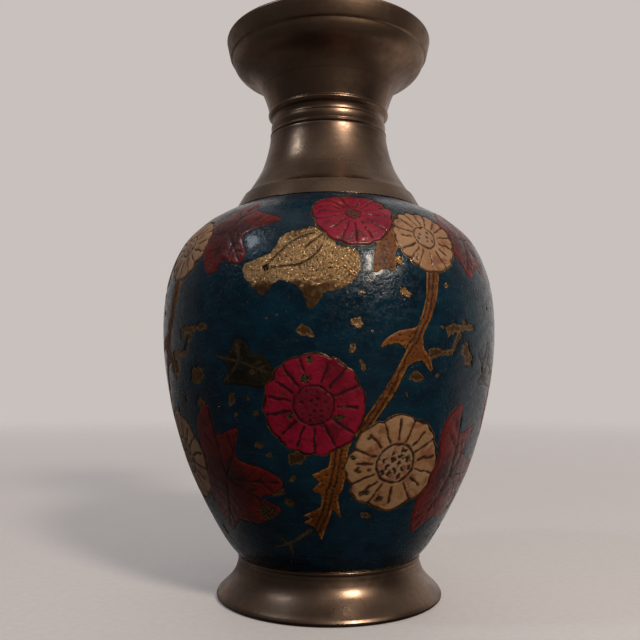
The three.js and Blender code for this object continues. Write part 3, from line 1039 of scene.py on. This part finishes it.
def bare_sheet(patch, line, pitch, seed, look):
    """The punched brass floor inside an outline, wherever no inlay covers it.

    look gives its height, how brown it is and how coarse, at flat places; the coarse parts also get
    painted glints."""

    def finish(flat, edge):
        height, cut, grain = look(flat)
        height[edge] = -SHEET_EDGE
        return height, {"cut": cut, "grain": grain}

    shape = grow(line, -0.02)
    return relief(patch, shape, motifs, pitch, (seed, seed), finish, spacing=0.53, back=-BED + 0.01)


def worn_look(flat):
    """Coarse grain, with the old outlines of the leaf still cut in it."""
    rng = np.random.default_rng(SEED)
    smooth_part = step(flat[:, 1] + 0.8 * ripple(flat, 3, 5), -4.8, -6.6)
    coarse = step(ripple(flat, 9, 2), -2.2, 0.4) * (1 - smooth_part)
    height = -0.22 + rng.uniform(-0.1, 0.1, len(flat)) * coarse
    cut = 0.3 * smooth_part
    for line in WORN["lines"]:
        away = distance(flat, smooth(line, 6)) + 0.1 * ripple(flat, 2, 7)
        cut = np.maximum(cut, 0.75 * step(away, 0.55, 0.2))
    pit = lengths(flat - WORN["pit"]) + 0.2 * ripple(flat, 1.2, 9)
    cut = np.maximum(cut, step(pit, 1.25, 0.9))
    return height - 0.1 * cut, cut, 1 - smooth_part


def chip_look(line, seed):
    """A pale broken edge round a browner middle; the edge is coarser, so it also gets more painted
    glints.
    """

    def look(flat):
        rng = np.random.default_rng(seed)
        edge = distance(flat, ring(line)) + 0.25 * ripple(flat, 1.5, seed)
        height = -0.24 + rng.uniform(-0.06, 0.06, len(flat))
        return height, 0.4 * step(edge, 0.3, 1.1), 0.7 - 0.5 * step(edge, 0.1, 0.8)

    return look


def offset_wall(start, end, depth, count):
    """Profile points along the wall, below its finished surface."""
    along = np.linspace(start, end, count)
    radius, height, out, up = wall_at(along)
    return list(zip(radius - depth * out, height - depth * up))


inside_depth = BED + WALL_THICKNESS
lap_depth = BED + WALL_THICKNESS / 2

body_lower = [
    *offset_wall(0, low_edge, 0, 4),
    *offset_wall(low_edge + 0.05, seam_station, BED, 60),
    *offset_wall(seam_station, lap_station, lap_depth, 5),
    *offset_wall(lap_station, 1.5, inside_depth, 50),
    (29.6, 14.6),
]
body_upper = [
    *offset_wall(seam_station, high_edge - 0.05, BED, 50),
    *offset_wall(high_edge, WALL_LENGTH, 0, 4),
    (34.4, 138.6), (31.0, 138.6),
    *offset_wall(WALL_LENGTH - 2.5, lap_station + 0.2, inside_depth, 40),
    *offset_wall(lap_station, seam_station, lap_depth + 0.02, 5),
]

FOOT_FLARE = [(39.7, 2.1), (38.9, 2.9), (37.5, 4.2), (35.9, 5.8), (34.6, 7.4), (33.5, 9.4),
              (32.8, 11.6), (32.4, 13.4)]
foot = [
    (37.2, 0), (39.3, 0), (40.1, 0.5), (40.2, 1.2), (39.9, 1.7),
    *smooth(FOOT_FLARE, 5),
    (32.7, 13.6), (32.7, 14.4), (32.5, 14.6),
    (29.6, 14.6), (29.6, 12.5), (27.5, 12.5), (27.5, 11.1),
    *smooth([(30.2, 10.2), (32.0, 8.0), (33.6, 5.6), (35.2, 3.4), (36.6, 1.8)], 4),
]
base_disc = [
    *smooth([(0.02, 12.9), (9, 12.95), (20, 12.85), (29.3, 12.8)], 5),
    (29.3, 14.6), (20, 14.65), (0.02, 14.7),
]

NECK_CURVE = [(31.2, 144.4), (30.1, 145.8), (28.6, 148.1), (26.9, 150.9), (25.2, 154.2),
              (23.8, 158.2), (22.8, 162), (22.2, 165), (22.0, 167.0)]
neck = [
    (27.2, 138.75), (34.3, 138.7), (35.2, 138.2), (31.9, 144.1),
    *smooth(NECK_CURVE, 5),
    (21.8, 167.55), (19.9, 167.55), (19.9, 161.8), (20.6, 161),
    *smooth([(21.4, 158), (22.4, 154.5), (24.4, 150), (27.0, 145.6), (27.2, 140)], 4),
]

CUP = [(22.3, 177.3), (22.9, 179.6), (23.9, 182.8), (25.3, 186.2), (27.2, 189.2), (29.8, 191.4),
       (32.6, 192.7), (34.7, 194.1), (36.0, 196.0), (36.6, 198.0)]
CUP_INSIDE = [(35.6, 203.6), (34.8, 198.4), (33.2, 194.4), (29.6, 191.6), (25.2, 188.6),
              (22.4, 183.2), (20.2, 177), (18.9, 171), (18.4, 166)]
mouth = [
    (18.4, 162.1), (19.6, 162.1), (19.6, 167.6), (21.6, 167.6),
    *smooth([(21.9, 168.0), (22.05, 168.3), (21.9, 168.6)], 3),
    (21.4, 169.0), (21.5, 169.5),
    *smooth([(21.6, 170.0), (21.7, 171), (21.6, 172.1)], 3),
    (21.0, 172.7), (20.9, 173.6), (21.2, 174.8),
    *smooth([(22.2, 175.3), (22.75, 176.0), (22.75, 176.6), (22.3, 177.2)], 3),
    *smooth(CUP, 4)[1:],
    (37.2, 198.3), (37.5, 198.8), (38.7, 204.2), (38.5, 204.8), (38.0, 205),
    (36.4, 205), (35.9, 204.6),
    *smooth(CUP_INSIDE, 4),
]


def brass_piece(node, profile, extra=(), material=brass):
    corners, faces = lathe(soften(profile, BEVEL))
    make(node + "_turned", [(corners, faces, {}), *extra], material, sharp=38,
         replaced=node, finish="brass")


brass_piece("foot_ring", foot)
brass_piece("base_disc", base_disc)
brass_piece("neck_collar", neck)
brass_piece("flared_mouth", mouth, material=tarnished)
on_lower = []
on_upper = bare_sheet(worn_patch, worn_line, 0.34, SEED, worn_look)
for flower in flowers:
    rib = edge_rib(flower.outline, flower.patch, flower.look["rib"], flower.seed)
    (on_lower if flower.patch.along < seam_station else on_upper).append(rib)
for i, (patch, line) in enumerate(chips):
    line = counter_clockwise(line)
    sheet = bare_sheet(patch, line, 0.42, i, chip_look(line, SEED + i))
    (on_lower if patch.along < seam_station else on_upper).extend(sheet)
brass_piece("body_lower", body_lower, on_lower, floor_brass)
brass_piece("body_upper", body_upper, on_upper, floor_brass)


# ---- camera, floor and light

PALE = paint(200, 193, 189)
FLOOR_RADIUS = 1500.0
NEAR_PAINTED_GLOW = 0.18        # painted light: the floor glows for the camera, lifting it to the brightness of the room behind it
FAR_PAINTED_GLOW = 0.31


camera_data = bpy.data.cameras.new("camera")
camera_data.lens = 41.0
camera_data.clip_start = 0.01
camera = add_object("camera", camera_data)
camera.location = Vector((0, -271.4, 75.0)) * MM
camera.rotation_euler = (math.radians(90 + 4.98), 0, math.radians(0.67))
bpy.context.scene.camera = camera


def add_light(name, place, size, watts, tint):
    """A round soft light that faces the middle of the body."""
    data = bpy.data.lights.new(name, "AREA")
    data.shape = "DISK"
    data.size = size * MM
    data.energy = watts
    data.color = tint
    light = add_object(name, data)
    light.location = Vector(place) * MM
    towards = Vector((0, 0, 100)) - Vector(place)
    light.rotation_euler = towards.to_track_quat("-Z", "Y").to_euler()


add_light("warm_lamp", (430, -730, 640), 170, 4.2, (1.0, 0.87, 0.74))
add_light("cool_window", (-600, -250, 750), 110, 0.55, (0.80, 0.90, 1.0))


def floor_material():
    """Pale and slightly uneven; it fades out with distance. To every ray but the camera's it is
    painted dark in front and to the left, a painted shade and shadow in what the vase reflects and
    takes from it; to the camera it glows a little, more further off, as painted light.
    """
    r = Recipe(bpy.data.materials.new("pale_floor"))
    uneven = r.remap(r.noise(2.5, 4), 0.3, 0.7)
    colour = r.blend(uneven, paint(244, 241, 242), paint(238, 235, 236))
    axes = r.add("SeparateXYZ", {0: r.here}).outputs
    # Painted shade and shadow: to every ray but the camera's the floor is dark in front of the vase
    # and to its left.
    near = r.remap(axes["Y"], 60 * MM, -40 * MM, 0.0, 0.93)
    left = r.remap(axes["X"], -10 * MM, -110 * MM, 0.0, 0.85)
    seen = r.add("LightPath").outputs["Is Camera Ray"]
    painted_shade = r.times(r.most(near, left), r.math("SUBTRACT", 1.0, seen))
    colour = r.blend(painted_shade, colour, paint(40, 37, 35))
    reach = r.add("VectorMath", {0: r.here}, operation="LENGTH").outputs["Value"]
    # Painted light: to the camera the floor glows, more further off, to match the room behind it.
    painted_glow = r.times(seen, r.remap(reach, 100 * MM, 650 * MM, NEAR_PAINTED_GLOW, FAR_PAINTED_GLOW))
    rough = r.remap(r.noise(20, 3), 0.3, 0.7, 0.5, 0.6)
    normal = r.bump(r.noise(1.5, 3), 0.02)
    others = {"Specular IOR Level": 0.2, "Emission Color": PALE, "Emission Strength": painted_glow}
    surface = r.surface(colour, 0.0, rough, normal, others)
    fade = r.remap(reach, 0.25 * FLOOR_RADIUS * MM, 0.95 * FLOOR_RADIUS * MM)
    clear = r.add("BsdfTransparent")
    mixed = r.add("MixShader", {0: fade, 1: surface, 2: clear.outputs[0]})
    r.add("OutputMaterial", {0: mixed.outputs[0]})
    return r.owner


def pale_floor():
    """A round floor, divided more finely towards the vase."""
    rings = 48
    segments = 96
    angle = angles_round(segments)
    radius = FLOOR_RADIUS * MM * (np.arange(1, rings + 1)[:, None] / rings) ** 1.5
    around = np.stack([radius * np.cos(angle), radius * np.sin(angle), 0 * radius * angle], -1)
    faces = [[0, 1 + j, 1 + (j + 1) % segments] for j in range(segments)]
    faces += (1 + tube(rings, segments)[:-segments]).tolist()
    mesh = bpy.data.meshes.new("floor")
    mesh.from_pydata([(0, 0, 0), *around.reshape(-1, 3).tolist()], [], faces)
    mesh.materials.append(floor_material())
    add_object("floor", mesh)


def surroundings():
    """A pale room to look at, which lights the vase less from the front and from the left."""
    world = bpy.data.worlds.new("room")
    bpy.context.scene.world = world
    r = Recipe(world, "Generated")
    axes = r.add("SeparateXYZ", {0: r.here}).outputs
    back = r.remap(axes["Y"], -0.15, 1.0)
    top = r.remap(axes["Z"], 0.3, 1.0, 0.0, 0.5)
    left = r.remap(axes["X"], -0.8, 0.1, 0.4, 1.0)
    lit = r.blend(r.times(r.most(back, top), left), paint(60, 57, 58), PALE)
    seen = r.add("Background", {"Color": PALE})
    shining = r.add("Background", {"Color": lit})
    camera_ray = r.add("LightPath").outputs["Is Camera Ray"]
    mixed = r.add("MixShader", {0: camera_ray, 1: shining.outputs[0], 2: seen.outputs[0]})
    r.add("OutputWorld", {0: mixed.outputs[0]})


pale_floor()
surroundings()
bpy.context.scene.view_settings.view_transform = "Standard"
